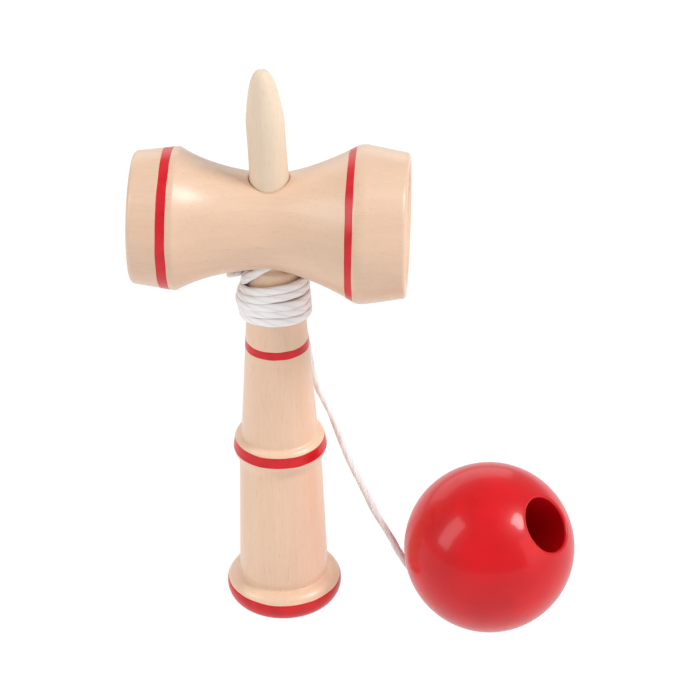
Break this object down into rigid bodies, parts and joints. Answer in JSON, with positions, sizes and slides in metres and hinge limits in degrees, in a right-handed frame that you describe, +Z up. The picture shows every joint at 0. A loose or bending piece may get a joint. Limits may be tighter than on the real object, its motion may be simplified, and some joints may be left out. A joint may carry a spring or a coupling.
{
  "type": "cup and ball toy",
  "caption": "Wooden cup and ball toy: turned handle with a spike, a crosspiece with a cup at each end and a cup under the foot, and a bored red ball on a string.",
  "frame": {"origin": "centre of the handle's foot, on the plane on which it stands", "axes": "+X to the right, where the crosspiece's larger cup points to within 2.5 degrees, +Y towards the back, +Z up along the handle"},
  "size_m": [0.1017, 0.0445, 0.14],
  "materials": {
    "beech": "turned beech under satin clear lacquer",
    "pale_beech": "sanded beech, no lacquer",
    "red_lacquer": "red lacquer stripe on wood",
    "red_ball": "gloss red lacquer on wood",
    "string": "twisted white cotton"
  },
  "bodies": {
    "ken": {"handle": "beech", "spike": "pale_beech", "neck_stripe": "red_lacquer", "collar_stripe": "red_lacquer", "foot_stripe": "red_lacquer", "string_tail": "string", "string_winding": "string"},
    "cross": {"crosspiece": "beech", "left_stripe": "red_lacquer", "right_stripe": "red_lacquer"},
    "lead": {"string_lead": "string"},
    "run": {"string_run": "string", "ball_knot": "string"},
    "tama": {"ball": "red_ball"}
  },
  "joints": [
    {"name": "crosspiece_lift", "type": "slide", "parent": "ken", "child": "cross", "axis": [-0.0384, 0, 0.9993], "range_m": [0, 0.046]},
    {"name": "string_yaw", "type": "hinge", "parent": "ken", "child": "lead", "pos_m": [0.00497, 0.00684, 0.074], "axis": [0, 0, 1], "range_deg": [-10, 120]},
    {"name": "string_swing", "type": "hinge", "parent": "lead", "child": "run", "pos_m": [0.00497, 0.00684, 0.074], "axis": [-0.2724, -0.9622, 0], "range_deg": [0, 75]},
    {"name": "ball_spin", "type": "hinge", "parent": "run", "child": "tama", "pos_m": [0.0496, -0.0058, 0.02], "axis": [0.7199, -0.3205, 0.6157], "continuous": true}
  ]
}
